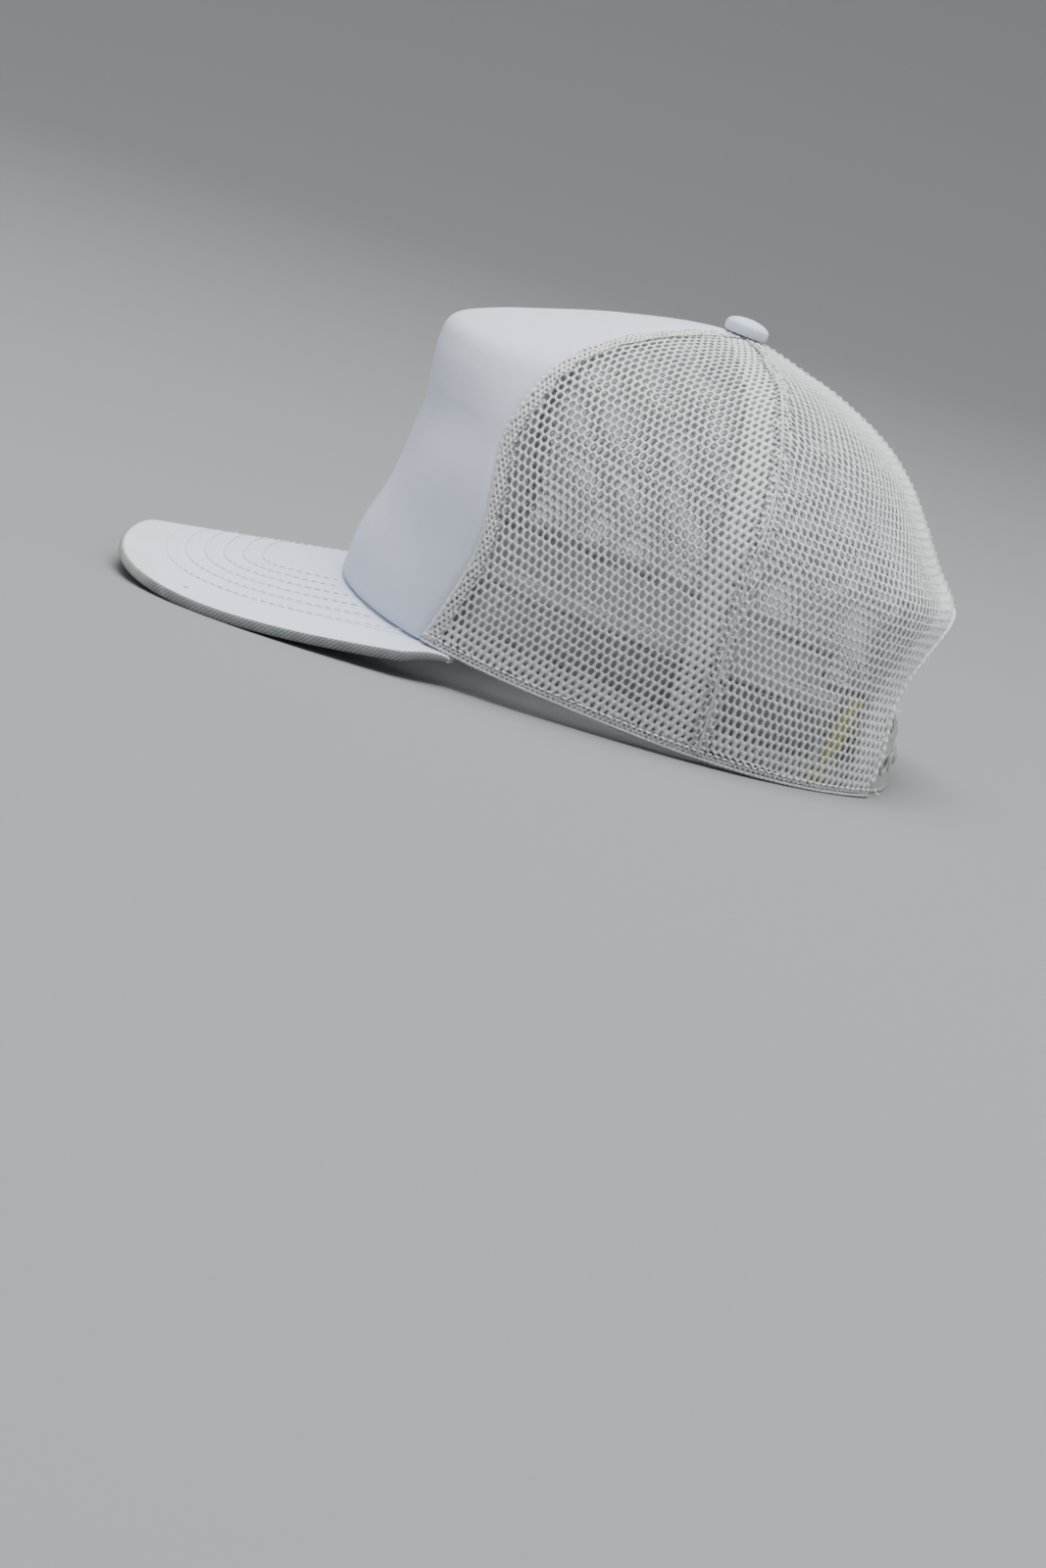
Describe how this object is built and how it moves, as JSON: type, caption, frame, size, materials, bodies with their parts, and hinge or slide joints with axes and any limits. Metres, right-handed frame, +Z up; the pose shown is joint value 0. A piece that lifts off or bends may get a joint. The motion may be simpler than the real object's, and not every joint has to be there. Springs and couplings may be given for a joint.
{
  "type": "trucker cap",
  "caption": "White trucker cap with a foam front panel, mesh sides and back, a stitched flat visor and a plastic snap strap",
  "frame": {"origin": "on the surface under the middle of the cap's bounding box, as it stands by itself", "axes": "+Z up, the visor points to -Y, the wearer's left is +X"},
  "size_m": [0.1636, 0.2632, 0.1301],
  "materials": {
    "panel_cloth": "smooth matt knit on foam",
    "net_yarn": "coarse glossy knitted mesh",
    "folded_net": "the same mesh, doubled",
    "band_cloth": "soft brushed cloth",
    "visor_top_cloth": "fine weave with six rows of stitches",
    "visor_under_cloth": "fine weave with six rows of stitches",
    "clear_plastic": "milky, slightly glossy"
  },
  "bodies": {
    "root": {"front_panel": "panel_cloth", "side_net_left": "net_yarn", "back_net_left": "net_yarn", "front_seam_fold_left": "folded_net", "side_seam_fold_left": "folded_net", "hem_fold_left": "folded_net", "side_net_right": "net_yarn", "back_net_right": "net_yarn", "front_seam_fold_right": "folded_net", "side_seam_fold_right": "folded_net", "hem_fold_right": "folded_net", "back_seam_fold": "folded_net", "arch_fold": "folded_net", "sweatband": "band_cloth", "visor_top": "visor_top_cloth", "visor_under": "visor_under_cloth", "button": "panel_cloth", "strap_left": "clear_plastic", "strap_right": "clear_plastic"}
  },
  "joints": []
}
